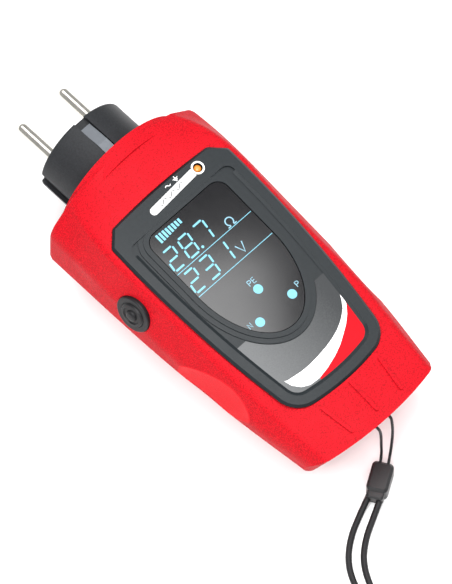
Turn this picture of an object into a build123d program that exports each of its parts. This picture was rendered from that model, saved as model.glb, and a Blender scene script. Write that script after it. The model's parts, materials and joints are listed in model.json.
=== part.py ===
"""A hand-held earth loop tester that plugs straight into a wall socket.

The tester lies on its back.  +Z is up, +Y points along the plug pins, and the origin is the middle of
the ground under the tester's box.  Millimetres.
"""

import os
from math import asin, atan, cos, degrees, pi, radians, sin, tan

from build123d import *

os.makedirs("parts", exist_ok=True)

# ---------------------------------------------------------------- driving dimensions
PLUG_FACE_Y = 63.5
PLUG_AXIS_Z = 28.0
PLUG_RADIUS = 18.0
PLUG_DEPTH = 18.7
COLLAR_RADIUS = 27.5
CASE_END_Y = 43.5
PIN_RADIUS = 2.0
PIN_SPACING = 19.0
PIN_LENGTH = 19.0
PARTING_Z = 18.0
WALL = 2.6
FIT_GAP = 0.15

FRONT_SLOPE = 0.1673
FRONT_HEIGHT = 46.24
FRONT_TILT = degrees(atan(FRONT_SLOPE))

STRAP_END_RADIUS = 140.0
STRAP_END_Y = -82.5
STRAP_END_LEAN = 22.0

BUTTON_POINT = (-32.3, 3.2, 33.4)
BUTTON_LEAN = 15.0
BUTTON_TURN = 3.5

# The front face runs down towards the strap end; sketches on it use x across and y along the slope.
FRONT = Plane(
    origin=(0, 0, FRONT_HEIGHT),
    x_dir=(1, 0, 0),
    z_dir=(0, -sin(radians(FRONT_TILT)), cos(radians(FRONT_TILT))),
)
# The button looks out of the left side wall, a little upwards and a little towards the strap end.
BUTTON_HEADING = (-cos(radians(BUTTON_TURN)), -sin(radians(BUTTON_TURN)))
BUTTON = Plane(
    origin=BUTTON_POINT,
    x_dir=(BUTTON_HEADING[1], -BUTTON_HEADING[0], 0),
    z_dir=(
        BUTTON_HEADING[0] * cos(radians(BUTTON_LEAN)),
        BUTTON_HEADING[1] * cos(radians(BUTTON_LEAN)),
        sin(radians(BUTTON_LEAN)),
    ),
)
# An upright plane through the button's axis: x runs inwards from the button, y is height.
BUTTON_UPRIGHT = Plane(
    origin=(BUTTON_POINT[0], BUTTON_POINT[1], 0),
    x_dir=(-BUTTON_HEADING[0], -BUTTON_HEADING[1], 0),
    z_dir=(-BUTTON_HEADING[1], BUTTON_HEADING[0], 0),
)
# The plug's own plane: its face, looking out along the pins.
PLUG = Plane(origin=(0, PLUG_FACE_Y, PLUG_AXIS_Z), x_dir=(-1, 0, 0), z_dir=(0, 1, 0))


def front_z(y):
    """Height of the front face's centre line at y."""
    return FRONT_HEIGHT + FRONT_SLOPE * y


def along(y):
    """Position on the sloping front face of a point that is at y."""
    return y / cos(radians(FRONT_TILT))


# ---------------------------------------------------------------- the case's outer form
# Each station: y, crown above the front line, shoulder (x, drop), side (x, drop), hull (x, z), flat back.
STATIONS = [
    (CASE_END_Y - 1.6, 2.3, (23.4, 5.8), (33.5, 16.3), (33.9, 18.6), 17.0),
    (34.0, 0.9, (26.6, 3.9), (33.9, 15.8), (34.0, 19.0), 17.0),
    (24.0, 0.0, (28.4, 1.3), (34.0, 15.1), (34.0, 19.0), 17.0),
    (-1.5, 0.0, (28.2, 1.1), (34.0, 15.1), (33.8, 19.0), 17.0),
    (-28.5, 0.0, (28.0, 1.3), (33.3, 13.5), (32.4, 18.8), 16.5),
    (-51.5, 0.0, (26.9, 1.6), (31.4, 11.0), (30.4, 18.6), 16.0),
    (-70.5, 0.0, (25.0, 2.6), (28.6, 9.0), (28.2, 18.0), 15.0),
    (-88.0, 0.0, (23.6, 3.6), (27.4, 7.4), (27.0, 17.0), 14.0),
]

BACK_TRIM = 0.2
STRAP_END_FLAT = 22.5
STRAP_CORNER_RADIUS = 9.0
STRAP_CORNER_TURN = 55.0
COLLAR_LENGTH = 6.0
HOLLOW_END_Y = PLUG_FACE_Y - PLUG_DEPTH - COLLAR_LENGTH
END_ROUNDING = [(1.1, 0.45), (1.6, 1.5)]
SCOOP_RADIUS = 40.0
SCOOP_FLOOR_X = 30.4
SCOOP_Y = -36.0
SCOOP_Z = 27.0
SCOOP_LEAN_IN = 0.1
SCOOP_LEAN_BACK = 0.646
SCOOP_REACH = 60.0
CROWN_SHARE = 0.8
SHOULDER_RADIUS = 4.0
SIDE_RADIUS = 9.0
HULL_RADIUS = 8.0
BACK_RADIUS = 8.0


# ---------------------------------------------------------------- front face layout, along the slope
BEZEL_TOP_X = 21.8
BEZEL_TOP_Y = along(25.4)
BEZEL_TOP_CORNER_Y = along(24.6)
BEZEL_WIDE_X = 27.0
BEZEL_WIDE_Y = along(19.6)
BEZEL_MID_X = 26.1
BEZEL_MID_Y = along(-21.5)
BEZEL_FOOT_X = 21.3
BEZEL_FOOT_Y = along(-61.3)
BEZEL_BOTTOM_Y = along(-64.0)
BEZEL_FOOT_ROUNDING = 10.0
BEZEL_CLIP_ROUNDING = 1.5
BEZEL_RING = 4.0
RECESS_TOP_Y = along(16.0)
RECESS_CORNER = 3.0
WINDOW_X = 17.4
WINDOW_TOP_Y = along(14.5)
WINDOW_WAIST_Y = along(-11.5)
WINDOW_BOTTOM_Y = along(-39.0)
WINDOW_CORNER = 4.5

LCD_Y = along(-12.2)
LCD_X_SIZE = 37.0
LCD_Y_SIZE = 55.0
SKIRT_X = 43.0
SKIRT_Y = 61.0
SKIRT_ROUNDING = 2.0
BEZEL_SEAT = 1.5
BEZEL_PROUD = 0.5
BEZEL_BEVEL = 0.8
LED_PLACE = (14.2, along(21.2))
LED_RADIUS = 1.5
LED_DOME = 1.35
DISPLAY_BOARD_DROP = 7.0
RECESS_FLOOR = -0.4
SURROUND_OUTER = 3.75
SURROUND_OUTER_TOP = 0.0
SURROUND_INNER = 1.9
SURROUND_INNER_TOP = 0.4
WINDOW_TOP = 0.2
WINDOW_THICKNESS = 1.3
WINDOW_BEVEL = 0.2
WINDOW_LEDGE = 0.9
SKIRT_DROP = 3.0
SKIRT_WALL = 1.5
LED_RIM_RADIUS = 2.5
LED_RIM_HEIGHT = 0.15
LED_FLANGE_RADIUS = 1.9
LED_FLANGE = 1.0
LED_TOP = 0.3
SLOT_PLACE = (22.6, along(-3.7))
SLOT_LENGTH = 3.2
SLOT_WIDTH = 1.1
SLOT_FLOOR = -0.2
LABEL_MARGIN = 0.3
FACE_LABEL_TOP_Y = along(-32.5)
FACE_LABEL_THICKNESS = 0.2
LCD_DROP = 3.1
LCD_THICKNESS = 2.6
BACKLIGHT_THICKNESS = 1.2
BOARD_THICKNESS = 1.6
BOARD_CORNER = 1.0
DISPLAY_BOARD_X_SIZE = 52.0
DISPLAY_BOARD_Y = along(-10.6)
DISPLAY_BOARD_Y_SIZE = 66.0

BUTTON_RING_RADIUS = 6.9
BUTTON_RING_THICKNESS = 1.6
BUTTON_RING_ROUNDING = 0.5
BUTTON_SLEEVE_RADIUS = 5.5
BUTTON_SLEEVE_LENGTH = 3.6
BUTTON_BORE_RADIUS = 4.9
BUTTON_CAP_RADIUS = 4.75
# the cap's side view: radius against height over the ring's seat, from the stem side to the middle
BUTTON_CAP_PROFILE = [
    (0, -4.7), (5.4, -4.7), (5.4, -3.75), (BUTTON_CAP_RADIUS, -3.75), (BUTTON_CAP_RADIUS, 1.7),
    (4.3, 2.2), (3.4, 2.3), (3.1, 1.95), (2.2, 1.95), (1.9, 2.6), (1.2, 2.9), (0, 3.0),
]
PLUNGER_RADIUS = 2.0
PLUNGER_END = -8.4
STEM_RADIUS = 1.2
STEM_END = -10.4
SWITCH_TOP = -9.8
SWITCH_SIZE = 8.0
SWITCH_BOARD_TOP = -12.0
SWITCH_BORE_FLOOR = -11.8
SWITCH_BOARD_SIZE = 13.0
BRACKET_WIDTH = 5.0
BRACKET_REACH = 5.5
BRACKET_FOOT = 14.2
BRACKET_BACK = 18.0
BUTTON_HOLE_RADIUS = 5.6
BUTTON_WALL = 6.0

CASE_TOP_Z = 60.0
CASE_SCREW_PLACES = [(-24.5, 28.5), (24.5, 28.5), (-23.5, -57.0), (23.5, -57.0)]
CASE_COLUMN_RADIUS = 4.2
CASE_SCREW_RADIUS = 1.5
CASE_SCREW_HEAD_RADIUS = 2.8
CASE_SCREW_HEAD = 2.0
CASE_SCREW_HEAD_Z = 14.5
CASE_SCREW_TOP = 30.0
SCREW_END_ROOM = 1.0
SCREW_SLOT_WIDTH = 0.7
BOARD_Z = 13.0
BOARD_SCREW_PLACES = [(-16.5, 22.0), (16.5, 22.0), (-16.5, -60.0), (16.5, -60.0)]
BOARD_COLUMN_RADIUS = 2.6
BOARD_SCREW_RADIUS = 1.1
BOARD_SCREW_REACH = 5.0
DISPLAY_SCREW_PLACES = [(x, along(y)) for x in (-24.1, 24.1) for y in (20.5, -37.0)]
DISPLAY_COLUMN_RADIUS = 2.2

BOARD_SCREW_HEAD_RADIUS = 2.0
BOARD_SCREW_HEAD = 1.5
MAIN_BOARD_X_SIZE = 37.0
MAIN_BOARD_Y = -19.5
MAIN_BOARD_Y_SIZE = 88.0
# name, x size, y size, height, places, rounding
MOULDED_COMPONENTS = [
    ("transformer", 21.0, 19.0, 15.0, [(-5.5, -13.0)], 1.0),
    ("relay", 10.0, 15.0, 11.0, [(-11.5, -35.5)], 0.6),
    ("load_resistors", 7.0, 24.0, 7.0, [(4.0, -44.0), (13.0, -44.0)], 0.6),
    ("microcontroller", 10.0, 10.0, 1.4, [(-10.0, -50.0)], 0.3),
]
# name, radius, height, places, rounding
ROUND_COMPONENTS = [
    ("reservoir_capacitors", 5.0, 13.0, [(12.5, -9.0), (12.5, -20.5)], 0.6),
    ("buzzer", 4.5, 5.0, [(-13.0, 12.0)], 0.5),
]
FUSE_X = 3.0
FUSE_Y = 7.0
FUSE_Z = 18.6
FUSE_LENGTH = 20.0
FUSE_RADIUS = 2.6
FUSE_CLIP_OFFSET = 7.5
FUSE_CLIP_WIDTH = 4.0
FUSE_CLIP_WALL = 0.6
HEADER_X = -2.0
HEADER_Y = -25.5
HEADER_LENGTH = 20.0
HEADER_DEPTH = 2.5
HEADER_CLEARANCE = 0.05
LEAD_RADIUS = 0.9
LEAD_BEND = 2.4
LEAD_TURN_Y = 26.5
LEAD_LOW_Z = 20.0
LEAD_PAD_X = 8.0
LEAD_PAD_Y = 20.0
EARTH_LEAD_START = 3.5
EARTH_PAD_Y = 21.5

EYELET_Z = 28.2
EYELET_HEIGHT = 3.4
EYELET_WIDTH = 10.4
EYELET_POST_Y = -77.2
EYELET_POST_RADIUS = 2.3
EYELET_BACK_Y = -73.6
STRAP_HOUSING_Y = EYELET_BACK_Y + WALL
STRAP_HOUSING_Z = EYELET_Z - EYELET_HEIGHT / 2 - WALL
STRAP_HOUSING_WIDTH = 16.0
RIDGE_HEIGHT = 0.7
RIDGE_ROOT = 4.2
RIDGE_WIDTH = 1.3
RIDGE_LENGTH = 13.5
RIDGE_SPREAD = 12.3
RIDGE_TURN = 9.0
RIDGE_Y = along(-72.0)

ARC_SHARE = 0.45
EYELET_CORD_RADIUS = 0.5
EYELET_ROUTE = [
    (-1.6, -85.5, 3.9), (1.2, -83.6, 5.0), (2.7, -82.8, 10.5), (3.5, -82.5, 17.5), (3.7, -82.9, 24.0),
    (3.3, -81.4, 28.0), (2.85, -74.35, 28.2), (-2.85, -74.35, 28.2), (-2.9, -81.4, 28.0),
    (-1.3, -81.8, 23.5), (-0.7, -81.3, 17.0), (-0.5, -81.0, 10.5), (-1.0, -81.8, 5.2), (-3.1, -83.2, 3.8),
]
# the two bends behind the post are the post's own size
EYELET_POST_BENDS = {6: 2.6, 7: 2.6}
BLOCK_CENTRE = (-7.06, -87.18)
BLOCK_HEADING = (-0.857, -0.515)
BLOCK_LENGTH = 11.0
BLOCK_WIDTH = 7.4
BLOCK_HEIGHT = 6.0
BLOCK_ROUNDING = 1.6
BLOCK_BEVEL = 0.9
WRIST_CORD_RADIUS = 1.1
WRIST_ROUTE_NEAR = [
    (-12.8, -88.3, 2.8), (-20.0, -90.9, 1.3), (-28.8, -95.0, 1.1), (-36.0, -101.2, 1.1), (-40.3, -109.5, 1.1),
]
WRIST_ROUTE_FAR = [
    (-10.8, -91.7, 2.8), (-17.5, -94.8, 1.3), (-25.8, -99.0, 1.1), (-32.5, -104.9, 1.1), (-37.2, -114.2, 1.1),
]
COIL_CENTRE = (-54.4, -119.5)
COIL_RADIUS = 17.4
COIL_ROUNDING = 0.9

LABEL_X_SIZE = 26.0
LABEL_Y_SIZE = 44.0
LABEL_ROUNDING = 2.0
LABEL_SINK = 0.4
LABEL_THICKNESS = 0.3
LABEL_Y = -8.0

FLANGE_RADIUS = 22.0
FLANGE_THICKNESS = 3.0
PLUG_RIM_ROUNDING = 1.0
CLIP_GROOVE_FLOOR = 15.8
CLIP_GROOVE_WIDTH = 4.6
CLIP_WIDTH = 4.0
GUIDE_WIDTH = 5.5
GUIDE_DEPTH = 1.7
GUIDE_STOP = 0.5
EARTH_SOCKET_OFFSET = 10.0
EARTH_SOCKET_RADIUS = 2.5
EARTH_SOCKET_WALL_RADIUS = 3.2
EARTH_SOCKET_LENGTH = 20.0
TERMINAL_Y = 34.0
TERMINAL_THICKNESS = 2.0
TERMINAL_RADIUS = 19.0
TERMINAL_SLOT_WIDTH = 5.6
TERMINAL_WEB_WIDTH = 6.6
TERMINAL_WEB_LENGTH = 29.6
PIN_SHOULDER_Y = 35.8
PIN_ROOT_RADIUS = 2.4
PIN_TAIL_RADIUS = 1.2
PIN_TAIL_PROUD = 2.0
# the clip's side view: y against height over its groove's floor
CLIP_PROFILE = [
    (60.3, 0.1), (60.3, 0.9), (52.0, 1.7), (44.0, 1.2),
    (33.0, 1.2), (33.0, 0.4), (44.0, 0.4), (52.0, 0.9),
]


def case_section(station, inset=0.0):
    """One cross-section of the case, square to the plug axis, drawn inset by the wall where it is hollow."""
    y, crown_height, (shoulder_x, shoulder_drop), (side_x, side_drop), (hull_x, hull_z), back_x = station
    line_z = front_z(y)
    right = [
        (shoulder_x, line_z - shoulder_drop),
        (side_x, line_z - side_drop),
        (hull_x, hull_z),
        (back_x, -BACK_TRIM),
    ]
    left = [(-x, z) for x, z in reversed(right)]
    crown_rise = (crown_height + shoulder_drop) / (1 - CROWN_SHARE / 2)
    crown_turn = atan(crown_rise / shoulder_x)
    crown_radius = CROWN_SHARE * shoulder_x / cos(crown_turn) / tan(crown_turn)
    radii = [crown_radius, SHOULDER_RADIUS, SIDE_RADIUS, HULL_RADIUS, BACK_RADIUS]
    with BuildSketch(Plane.XZ.offset(-y)) as section:
        with BuildLine():
            crown = (0, line_z - shoulder_drop + crown_rise)
            FilletPolyline(crown, *right, *left, radius=radii + radii[:0:-1], close=True)
        make_face()
        if inset:
            offset(amount=-inset)
    return section.sketch


def strap_end_cutter(inset=0.0):
    """The waste beyond the strap end: a shallow arc with soft corners, undercut towards the back."""
    rim_y = STRAP_END_Y + inset
    reach = 40.0
    with BuildPart() as cutter:
        with BuildSketch(Plane.XY.offset(front_z(STRAP_END_Y))):
            with BuildLine():
                sweep_angle = degrees(asin(STRAP_END_FLAT / STRAP_END_RADIUS))
                rim = JernArc((0, rim_y), (1, 0), STRAP_END_RADIUS, sweep_angle)
                corner = JernArc(rim @ 1, rim % 1, STRAP_CORNER_RADIUS, STRAP_CORNER_TURN)
                flank = Line(corner @ 1, corner @ 1 + (corner % 1) * reach)
                Polyline(flank @ 1, ((flank @ 1).X, rim_y - reach), (0, rim_y - reach))
                mirror(about=Plane.YZ)
            make_face()
        extrude(amount=reach, dir=(0, tan(radians(STRAP_END_LEAN)), -1), both=True)
    return cutter.part


def scoop_cutter(inset=0.0):
    """The two shallow finger scoops across the flanks; grown by the wall where the case is hollow."""
    with BuildPart() as cutter:
        for side in (-1, 1):
            scoop_axis = Plane(
                origin=(side * (SCOOP_FLOOR_X + SCOOP_RADIUS), SCOOP_Y, SCOOP_Z),
                z_dir=(-side * SCOOP_LEAN_IN, -SCOOP_LEAN_BACK, 1),
            )
            with BuildSketch(scoop_axis):
                Circle(SCOOP_RADIUS + inset)
            extrude(amount=SCOOP_REACH, both=True)
    return cutter.part


def finish(builder, name):
    """Names a finished piece and writes its file."""
    builder.part.label = name
    export_step(builder.part, f"parts/{name}.step")


with BuildPart() as case_form:
    loft([case_section(station) for station in STATIONS])
    end_y, *end_shape = STATIONS[0]
    rounded_end = [case_section((end_y + rise, *end_shape), inset) for rise, inset in END_ROUNDING]
    loft([case_section(STATIONS[0]), *rounded_end], ruled=True)
    split(bisect_by=Plane.XY, keep=Keep.TOP)
    add(scoop_cutter(), mode=Mode.SUBTRACT)
    add(strap_end_cutter(), mode=Mode.SUBTRACT)
    with BuildSketch(PLUG.offset(-PLUG_DEPTH)):
        Circle(COLLAR_RADIUS)
    extrude(amount=-COLLAR_LENGTH)

with BuildPart() as hollow:
    loft([case_section(station, WALL) for station in STATIONS])
    split(bisect_by=Plane.XZ.offset(-HOLLOW_END_Y), keep=Keep.TOP)
    add(scoop_cutter(WALL), mode=Mode.SUBTRACT)
    add(strap_end_cutter(WALL), mode=Mode.SUBTRACT)


# ---------------------------------------------------------------- outlines on the front face
def bezel_outline(inset=0.0):
    """The bezel's outline on the front face, wide and clipped at the plug end, rounded at the strap end."""
    with BuildSketch() as outline:
        with BuildLine():
            top = ThreePointArc(
                (-BEZEL_TOP_X, BEZEL_TOP_CORNER_Y), (0, BEZEL_TOP_Y), (BEZEL_TOP_X, BEZEL_TOP_CORNER_Y)
            )
            clip = Line(top @ 1, (BEZEL_WIDE_X, BEZEL_WIDE_Y))
            flank = ThreePointArc(clip @ 1, (BEZEL_MID_X, BEZEL_MID_Y), (BEZEL_FOOT_X, BEZEL_FOOT_Y))
            Line(top @ 0, (-BEZEL_WIDE_X, BEZEL_WIDE_Y))
            ThreePointArc(
                (-BEZEL_WIDE_X, BEZEL_WIDE_Y), (-BEZEL_MID_X, BEZEL_MID_Y), (-BEZEL_FOOT_X, BEZEL_FOOT_Y)
            )
            ThreePointArc(flank @ 1, (0, BEZEL_BOTTOM_Y), (-BEZEL_FOOT_X, BEZEL_FOOT_Y))
        make_face()
        feet = outline.vertices().sort_by(Axis.Y)[:2]
        fillet(feet, BEZEL_FOOT_ROUNDING)
        clipped = outline.vertices().sort_by(Axis.Y)[-4:]
        fillet(clipped, BEZEL_CLIP_ROUNDING)
        if inset:
            offset(amount=-inset)
    return outline.sketch


def window_outline(grow=0.0):
    """The display window: square-shouldered at the plug end, half an ellipse at the strap end."""
    side_x = WINDOW_X + grow
    top_y = WINDOW_TOP_Y + grow
    foot_depth = WINDOW_WAIST_Y - WINDOW_BOTTOM_Y + grow
    with BuildSketch() as outline:
        with BuildLine():
            Polyline((-side_x, WINDOW_WAIST_Y), (-side_x, top_y), (side_x, top_y), (side_x, WINDOW_WAIST_Y))
            EllipticalCenterArc((0, WINDOW_WAIST_Y), side_x, foot_depth, start_angle=180, arc_size=180)
        make_face()
        fillet(outline.vertices().sort_by(Axis.Y)[-2:], WINDOW_CORNER + grow)
    return outline.sketch


def recess_outline(inset=0.0):
    """The sunk face inside the bezel's ring, below its header band."""
    with BuildSketch() as outline:
        add(bezel_outline(BEZEL_RING), mode=Mode.ADD)
        with Locations((0, RECESS_TOP_Y)):
            Rectangle(2 * BEZEL_WIDE_X, BEZEL_WIDE_X, align=(Align.CENTER, Align.MIN), mode=Mode.SUBTRACT)
        fillet(outline.vertices().sort_by(Axis.Y)[-2:], RECESS_CORNER)
        if inset:
            offset(amount=-inset)
    return outline.sketch


def columns(positions, radius, low, high):
    """Round columns standing at each position, from one height to another."""
    with BuildPart() as posts:
        with BuildSketch(Plane.XY.offset(low)):
            with Locations(*positions):
                Circle(radius)
        extrude(amount=high - low)
    return posts.part


# ---------------------------------------------------------------- the two case shells
# what is hollow in the front shell: room is left for screw columns and for the strap's eyelet
with BuildPart() as front_hollow:
    add(hollow.part)
    add(columns(CASE_SCREW_PLACES, CASE_COLUMN_RADIUS, 0, CASE_TOP_Z), mode=Mode.SUBTRACT)
    with BuildSketch(FRONT.offset(-DISPLAY_BOARD_DROP)):
        with Locations(*DISPLAY_SCREW_PLACES):
            Circle(DISPLAY_COLUMN_RADIUS)
    extrude(amount=DISPLAY_BOARD_DROP, mode=Mode.SUBTRACT)
    with Locations((0, STRAP_HOUSING_Y, STRAP_HOUSING_Z)):
        Box(
            STRAP_HOUSING_WIDTH, STRAP_HOUSING_WIDTH, STRAP_HOUSING_WIDTH,
            align=(Align.CENTER, Align.MAX, Align.MIN), mode=Mode.SUBTRACT,
        )

# three grip ridges near the strap end, which follow the crowned face
with BuildPart() as ridges:
    add(case_form.part.moved(Location((0, 0, RIDGE_HEIGHT))))
    with BuildSketch(FRONT.offset(-2 * WALL)):
        for x, turn in ((0, 0), (RIDGE_SPREAD, RIDGE_TURN), (-RIDGE_SPREAD, -RIDGE_TURN)):
            with Locations(Location((x, RIDGE_Y), 90 - turn)):
                SlotOverall(RIDGE_LENGTH, RIDGE_WIDTH)
    extrude(amount=4 * WALL, mode=Mode.INTERSECT)
    split(bisect_by=FRONT.offset(-RIDGE_ROOT), keep=Keep.TOP)

with BuildPart() as front_shell:
    add(case_form.part)
    split(bisect_by=Plane.XY.offset(PARTING_Z), keep=Keep.TOP)
    add(front_hollow.part, mode=Mode.SUBTRACT)
    # the hole that the plug body passes through
    with BuildSketch(PLUG):
        Circle(PLUG_RADIUS + FIT_GAP)
    extrude(amount=-PLUG_FACE_Y, mode=Mode.SUBTRACT)
    # the bezel's seat, the opening under it and the lamp's hole
    with BuildSketch(FRONT.offset(-BEZEL_SEAT)):
        add(bezel_outline(-FIT_GAP))
    extrude(amount=BEZEL_SEAT * 4, mode=Mode.SUBTRACT)
    with BuildSketch(FRONT.offset(-WALL * 2)):
        with Locations((0, LCD_Y)):
            RectangleRounded(SKIRT_X + 2 * FIT_GAP, SKIRT_Y + 2 * FIT_GAP, SKIRT_ROUNDING)
        with Locations(LED_PLACE):
            Circle(LED_FLANGE_RADIUS + FIT_GAP)
    extrude(amount=WALL * 2, mode=Mode.SUBTRACT)
    # the button's seat and its hole
    with BuildSketch(BUTTON):
        Circle(BUTTON_RING_RADIUS + FIT_GAP)
    extrude(amount=BUTTON_RING_RADIUS, mode=Mode.SUBTRACT)
    with BuildSketch(BUTTON):
        Circle(BUTTON_HOLE_RADIUS)
    extrude(amount=-BUTTON_WALL, mode=Mode.SUBTRACT)
    # screw holes in the columns
    add(columns(CASE_SCREW_PLACES, CASE_SCREW_RADIUS, PARTING_Z, CASE_SCREW_TOP), mode=Mode.SUBTRACT)
    with BuildSketch(FRONT.offset(-DISPLAY_BOARD_DROP)):
        with Locations(*DISPLAY_SCREW_PLACES):
            Circle(BOARD_SCREW_RADIUS)
    extrude(amount=BOARD_SCREW_REACH, mode=Mode.SUBTRACT)
    # the eyelet in the undercut end: a pocket with a post across it for the strap's thin cord
    with BuildSketch(Plane.XY.offset(EYELET_Z - EYELET_HEIGHT / 2)):
        with Locations((0, EYELET_BACK_Y)):
            Rectangle(EYELET_WIDTH, EYELET_WIDTH, align=(Align.CENTER, Align.MAX))
        with Locations((0, EYELET_POST_Y)):
            Circle(EYELET_POST_RADIUS, mode=Mode.SUBTRACT)
    extrude(amount=EYELET_HEIGHT, mode=Mode.SUBTRACT)
    add(ridges.part)
finish(front_shell, "front_shell")

with BuildPart() as rear_hollow:
    add(hollow.part)
    add(columns(CASE_SCREW_PLACES, CASE_COLUMN_RADIUS, 0, PARTING_Z), mode=Mode.SUBTRACT)
    add(columns(BOARD_SCREW_PLACES, BOARD_COLUMN_RADIUS, 0, BOARD_Z), mode=Mode.SUBTRACT)

with BuildPart() as rear_shell:
    add(case_form.part)
    split(bisect_by=Plane.XY.offset(PARTING_Z), keep=Keep.BOTTOM)
    add(rear_hollow.part, mode=Mode.SUBTRACT)
    with BuildSketch(PLUG):
        Circle(PLUG_RADIUS + FIT_GAP)
    extrude(amount=-PLUG_FACE_Y, mode=Mode.SUBTRACT)
    head_hole_radius = CASE_SCREW_HEAD_RADIUS + FIT_GAP
    add(columns(CASE_SCREW_PLACES, head_hole_radius, 0, CASE_SCREW_HEAD_Z), mode=Mode.SUBTRACT)
    add(columns(CASE_SCREW_PLACES, CASE_SCREW_RADIUS, 0, PARTING_Z), mode=Mode.SUBTRACT)
    add(
        columns(BOARD_SCREW_PLACES, BOARD_SCREW_RADIUS, BOARD_Z - BOARD_SCREW_REACH, BOARD_Z),
        mode=Mode.SUBTRACT,
    )
    # a shallow panel for the rating label
    with BuildSketch(Plane.XY):
        with Locations((0, LABEL_Y)):
            RectangleRounded(LABEL_X_SIZE + 2 * FIT_GAP, LABEL_Y_SIZE + 2 * FIT_GAP, LABEL_ROUNDING)
    extrude(amount=LABEL_SINK, mode=Mode.SUBTRACT)
finish(rear_shell, "rear_shell")

with BuildPart() as rating_label:
    with BuildSketch(Plane.XY.offset(LABEL_SINK - LABEL_THICKNESS)):
        with Locations((0, LABEL_Y)):
            RectangleRounded(LABEL_X_SIZE, LABEL_Y_SIZE, LABEL_ROUNDING)
    extrude(amount=LABEL_THICKNESS)
finish(rating_label, "rating_label")

with BuildPart() as case_screws:
    screw_head_low = CASE_SCREW_HEAD_Z - CASE_SCREW_HEAD
    add(columns(CASE_SCREW_PLACES, CASE_SCREW_HEAD_RADIUS, screw_head_low, CASE_SCREW_HEAD_Z))
    add(columns(CASE_SCREW_PLACES, CASE_SCREW_RADIUS, CASE_SCREW_HEAD_Z, CASE_SCREW_TOP - SCREW_END_ROOM))
    with BuildSketch(Plane.XY.offset(screw_head_low)):
        with Locations(*CASE_SCREW_PLACES):
            Rectangle(CASE_SCREW_RADIUS * 2, SCREW_SLOT_WIDTH)
            Rectangle(SCREW_SLOT_WIDTH, CASE_SCREW_RADIUS * 2)
    extrude(amount=CASE_SCREW_HEAD / 2, mode=Mode.SUBTRACT)
finish(case_screws, "case_screws")

# ---------------------------------------------------------------- plug
with BuildPart() as plug_body:
    with BuildSketch(PLUG):
        Circle(PLUG_RADIUS)
    extrude(amount=-(PLUG_FACE_Y - HOLLOW_END_Y))
    fillet(plug_body.faces().sort_by(Axis.Y)[-1].edges(), PLUG_RIM_ROUNDING)
    with BuildSketch(Plane.XZ.offset(-HOLLOW_END_Y)):
        with Locations((0, PLUG_AXIS_Z)):
            Circle(FLANGE_RADIUS)
    extrude(amount=FLANGE_THICKNESS)
    # earth clip grooves above and below, guide grooves at the sides
    with BuildSketch(PLUG):
        with PolarLocations(CLIP_GROOVE_FLOOR, 2, start_angle=90):
            Rectangle(FLANGE_RADIUS, CLIP_GROOVE_WIDTH, align=(Align.MIN, Align.CENTER))
    extrude(amount=-PLUG_FACE_Y, mode=Mode.SUBTRACT)
    with BuildSketch(PLUG):
        with PolarLocations(PLUG_RADIUS - GUIDE_DEPTH, 2):
            Rectangle(FLANGE_RADIUS, GUIDE_WIDTH, align=(Align.MIN, Align.CENTER))
    extrude(amount=-PLUG_DEPTH + GUIDE_STOP, mode=Mode.SUBTRACT)
    with BuildSketch(PLUG):
        with Locations((-PIN_SPACING / 2, 0), (PIN_SPACING / 2, 0)):
            Circle(PIN_ROOT_RADIUS)
    extrude(amount=-PLUG_FACE_Y, mode=Mode.SUBTRACT)
    with BuildSketch(PLUG):
        with Locations((0, -EARTH_SOCKET_OFFSET)):
            Circle(EARTH_SOCKET_WALL_RADIUS)
    extrude(amount=-EARTH_SOCKET_LENGTH, mode=Mode.SUBTRACT)
finish(plug_body, "plug_body")


def contact_pin(x):
    """A round plug pin: a domed tip, a thicker root in the plug and a thin tail through the plate."""
    with BuildPart() as pin:
        with BuildSketch(Plane.YZ.offset(x)):
            with BuildLine():
                tail_y = TERMINAL_Y - TERMINAL_THICKNESS - PIN_TAIL_PROUD
                tip_y = PLUG_FACE_Y + PIN_LENGTH
                bottom = Line((tail_y, PLUG_AXIS_Z), (tip_y, PLUG_AXIS_Z))
                side_z = PLUG_AXIS_Z + PIN_RADIUS
                root_z = PLUG_AXIS_Z + PIN_ROOT_RADIUS
                tail_z = PLUG_AXIS_Z + PIN_TAIL_RADIUS
                CenterArc((tip_y - PIN_RADIUS, PLUG_AXIS_Z), PIN_RADIUS, 0, 90)
                Polyline(
                    (tip_y - PIN_RADIUS, side_z), (PLUG_FACE_Y, side_z), (PLUG_FACE_Y, root_z),
                    (PIN_SHOULDER_Y, root_z), (PIN_SHOULDER_Y, tail_z), (tail_y, tail_z), bottom @ 0,
                )
            make_face()
        revolve(axis=Axis((x, 0, PLUG_AXIS_Z), (0, 1, 0)))
    return pin


finish(contact_pin(-PIN_SPACING / 2), "pin_left")
finish(contact_pin(PIN_SPACING / 2), "pin_right")


def earth_clip(side):
    """A springy earth strip lying in the groove above (+1) or below (-1), bowed outwards a little."""
    floor = CLIP_GROOVE_FLOOR
    outline = [(y, PLUG_AXIS_Z + side * (floor + rise)) for y, rise in CLIP_PROFILE]
    with BuildPart() as clip:
        with BuildSketch(Plane.YZ.offset(-CLIP_WIDTH / 2)):
            with BuildLine():
                Polyline(*outline, close=True)
            make_face()
        extrude(amount=CLIP_WIDTH)
    return clip


finish(earth_clip(1), "earth_clip_top")
finish(earth_clip(-1), "earth_clip_bottom")

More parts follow.
